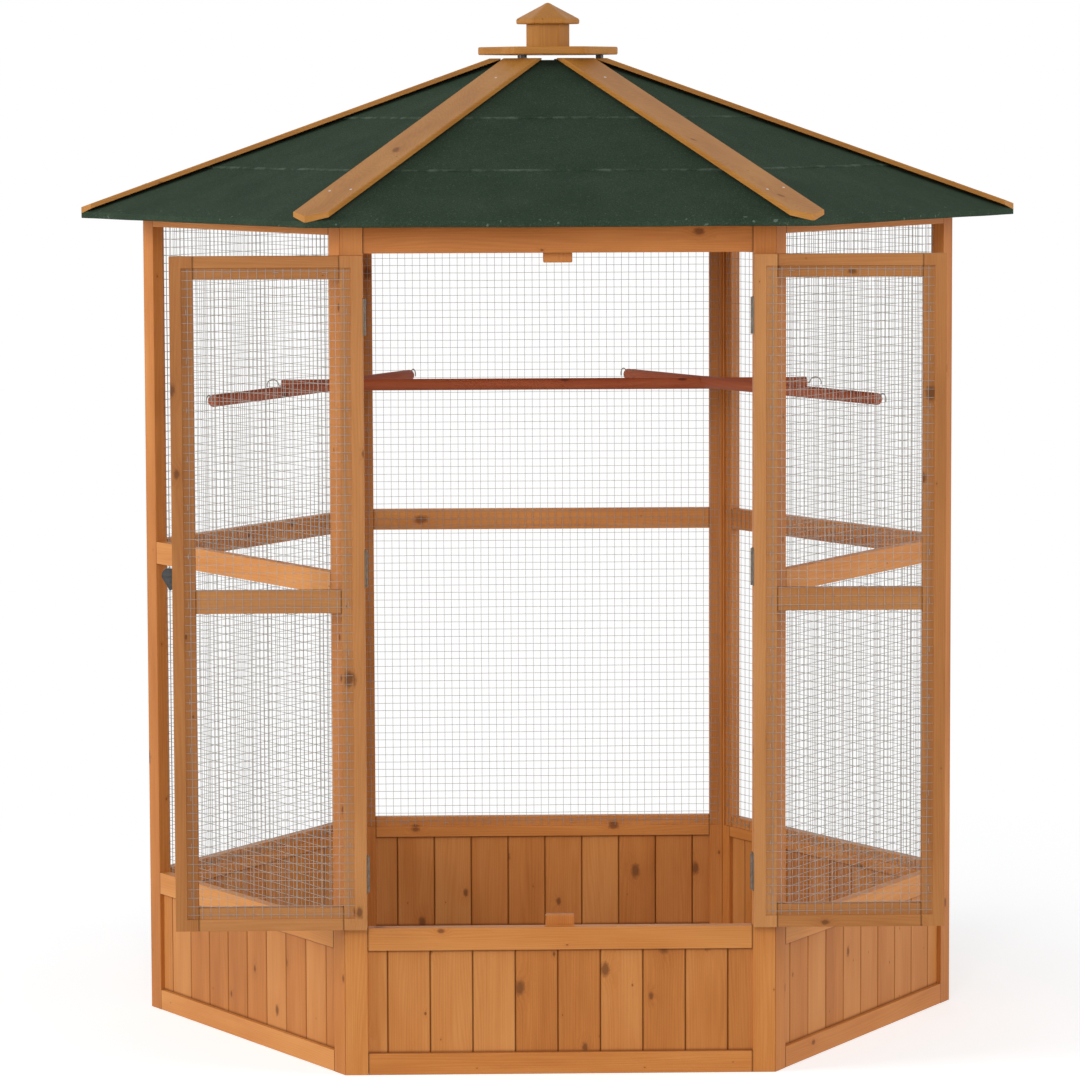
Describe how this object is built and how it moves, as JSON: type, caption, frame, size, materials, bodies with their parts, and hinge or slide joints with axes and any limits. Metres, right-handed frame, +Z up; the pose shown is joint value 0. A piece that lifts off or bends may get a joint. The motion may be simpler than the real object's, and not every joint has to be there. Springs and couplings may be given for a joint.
{
  "type": "outdoor aviary",
  "caption": "Hexagonal timber aviary with boarded and netted walls, a felted pyramid roof with a finial, twin netted doors that swing, a turn latch and round perches.",
  "frame": {"origin": "centre of the hexagonal plan on the ground", "axes": "+Z up, -Y out of the doorway, +X to the right when facing the doors"},
  "size_m": [1.956, 1.694, 2.1178],
  "materials": {
    "stained_wood": "satin honey-coloured wood stain on planed softwood",
    "board_wood": "satin honey-coloured wood stain on matched softwood boards",
    "perch_wood": "matt red-brown round hardwood",
    "roof_felt": "dark green mineral-faced roofing felt",
    "net_wire": "galvanised welded wire",
    "hinge_metal": "zinc-plated pressed steel",
    "latch_metal": "black satin paint"
  },
  "bodies": {
    "aviary": {"wall_frame_front_right": "stained_wood", "wall_frame_rear_right": "stained_wood", "wall_frame_rear": "stained_wood", "wall_frame_rear_left": "stained_wood", "wall_frame_front_left": "stained_wood", "front_post_left": "stained_wood", "front_post_right": "stained_wood", "lintel": "stained_wood", "threshold_rail": "stained_wood", "front_bottom_rail": "stained_wood", "door_stop_top": "stained_wood", "door_stop_bottom": "stained_wood", "hip_batten_front_right": "stained_wood", "hip_batten_right": "stained_wood", "hip_batten_rear_right": "stained_wood", "hip_batten_rear_left": "stained_wood", "hip_batten_left": "stained_wood", "hip_batten_front_left": "stained_wood", "cap_plate": "stained_wood", "finial_block": "stained_wood", "finial_cap": "stained_wood", "wall_boards_front_right": "board_wood", "wall_boards_rear_right": "board_wood", "wall_boards_rear": "board_wood", "wall_boards_rear_left": "board_wood", "wall_boards_front_left": "board_wood", "front_boards": "board_wood", "wall_net_front_right": "net_wire", "wall_net_rear_right": "net_wire", "wall_net_rear": "net_wire", "wall_net_rear_left": "net_wire", "wall_net_front_left": "net_wire", "roof_panel_front": "roof_felt", "roof_panel_front_right": "roof_felt", "roof_panel_rear_right": "roof_felt", "roof_panel_rear": "roof_felt", "roof_panel_rear_left": "roof_felt", "roof_panel_front_left": "roof_felt", "perch_left": "perch_wood", "perch_right": "perch_wood", "perch_cross": "perch_wood", "left_hinge_top_post_leaf": "hinge_metal", "left_hinge_middle_post_leaf": "hinge_metal", "left_hinge_bottom_post_leaf": "hinge_metal", "right_hinge_top_post_leaf": "hinge_metal", "right_hinge_middle_post_leaf": "hinge_metal", "right_hinge_bottom_post_leaf": "hinge_metal"},
    "left_door": {"left_door_frame": "stained_wood", "left_door_net": "net_wire", "latch_plate": "latch_metal", "latch_screw": "latch_metal", "left_hinge_top_door_leaf": "hinge_metal", "left_hinge_middle_door_leaf": "hinge_metal", "left_hinge_bottom_door_leaf": "hinge_metal"},
    "right_door": {"right_door_frame": "stained_wood", "right_door_net": "net_wire", "right_hinge_top_door_leaf": "hinge_metal", "right_hinge_middle_door_leaf": "hinge_metal", "right_hinge_bottom_door_leaf": "hinge_metal"},
    "latch_lever": {"latch_lever": "latch_metal"}
  },
  "joints": [
    {"name": "left_door_hinge", "type": "hinge", "parent": "aviary", "child": "left_door", "pos_m": [-0.378, -0.74072, 0.95], "axis": [0, 0, 1], "range_deg": [0, 180]},
    {"name": "right_door_hinge", "type": "hinge", "parent": "aviary", "child": "right_door", "pos_m": [0.378, -0.74072, 0.95], "axis": [0, 0, 1], "range_deg": [-180, 0]},
    {"name": "latch_turn", "type": "hinge", "parent": "left_door", "child": "latch_lever", "pos_m": [-0.7365, -0.74132, 0.995], "axis": [0, 1, 0], "range_deg": [-90, 90]}
  ]
}
